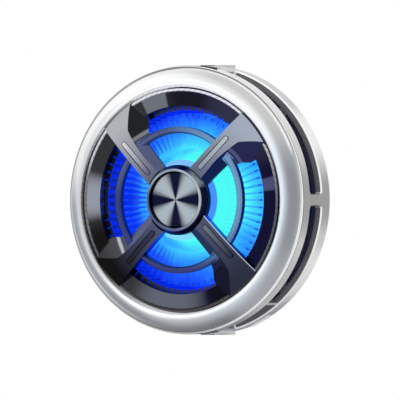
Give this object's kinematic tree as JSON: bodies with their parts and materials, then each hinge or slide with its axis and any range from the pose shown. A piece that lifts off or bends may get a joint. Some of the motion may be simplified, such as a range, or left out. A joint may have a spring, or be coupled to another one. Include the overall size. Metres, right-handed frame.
{
  "type": "phone cooling fan",
  "caption": "Magnetic disc cooler for a phone: a blower behind a pinwheel grille, radial heat sink fins and a Peltier cell with a cold plate.",
  "frame": {"origin": "centre of the rear contact face that rests on the phone, on the fan axis", "axes": "+Y out of the contact face towards the phone, -Y the front, +Z towards 12 o'clock, +X to the right seen from the front"},
  "size_m": [0.0702, 0.0274, 0.071],
  "materials": {
    "satin_silver": "satin anodised",
    "bright_trim": "polished",
    "lip_silver": "satin",
    "gunmetal": "satin metallic paint",
    "inlay_grey": "satin metallic paint",
    "dark_chrome": "polished dark",
    "spun_metal": "spun, dark",
    "brushed_silver": "brushed",
    "black_gloss": "gloss",
    "clear_blue": "clear, lit from behind",
    "rotor_steel": "plated",
    "ferrite": "sintered",
    "bronze": "sintered bronze",
    "washer_nylon": "moulded",
    "base_black": "moulded",
    "lamination": "laminated",
    "copper_wire": "enamelled wire",
    "board_black": "solder mask",
    "led_white": "lens resin",
    "sink_dark": "anodised dark",
    "thermal_grey": "soft pad",
    "ceramic_white": "matt",
    "pellet_grey": "sintered",
    "cold_aluminium": "fine turned",
    "foam_black": "closed cell foam",
    "case_grey": "moulded satin",
    "magnet_nickel": "nickel plated",
    "soft_black": "matt silicone",
    "chip_black": "moulded",
    "port_steel": "drawn",
    "button_silver": "satin",
    "switch_black": "moulded",
    "lens_smoke": "smoked",
    "lead_red": "insulation",
    "lead_black": "insulation",
    "lead_grey": "insulation",
    "screw_steel": "zinc plated"
  },
  "bodies": {
    "case": {"front_bezel": "satin_silver", "seam_ring": "bright_trim", "lip_ring": "lip_silver", "grille": "gunmetal", "spoke_inlays": "inlay_grey", "hub_rim": "dark_chrome", "hub_disc": "spun_metal", "side_band": "brushed_silver", "top_bridge_pad": "black_gloss", "bottom_bridge_pad": "black_gloss", "motor_base": "base_black", "thrust_washer": "washer_nylon", "sleeve_bearing": "bronze", "stator_core": "lamination", "stator_coils": "copper_wire", "light_board": "board_black", "leds": "led_white", "heat_sink": "sink_dark", "hot_side_pad": "thermal_grey", "peltier_hot_plate": "ceramic_white", "peltier_pellets": "pellet_grey", "peltier_cold_plate": "ceramic_white", "cold_side_pad": "thermal_grey", "cold_plate": "cold_aluminium", "foam_frame": "foam_black", "rear_housing": "case_grey", "phone_magnets": "magnet_nickel", "shunt_ring": "lamination", "contact_pad": "soft_black", "control_board": "board_black", "controller_chip": "chip_black", "usb_c_shell": "port_steel", "usb_c_tongue": "switch_black", "mode_switch": "switch_black", "indicator_lens": "lens_smoke", "indicator_led": "led_white", "red_lead": "lead_red", "black_lead": "lead_black", "fan_lead": "lead_grey", "housing_screws": "screw_steel", "clamp_screws": "screw_steel", "grille_screws": "screw_steel", "board_screws": "screw_steel"},
    "fan": {"impeller": "clear_blue", "rotor_cup": "rotor_steel", "rotor_magnet": "ferrite", "shaft": "rotor_steel"},
    "button": {"mode_button": "button_silver"}
  },
  "joints": [
    {"name": "fan_spin", "type": "hinge", "parent": "case", "child": "fan", "pos_m": [0, 0, 0], "axis": [0, 1, 0], "continuous": true},
    {"name": "mode_button_press", "type": "slide", "parent": "case", "child": "button", "axis": [-0.4462, 0, 0.8949], "range_m": [0, 0.00035], "stiffness_N_per_m": 800, "springref_m": -0.0005}
  ]
}
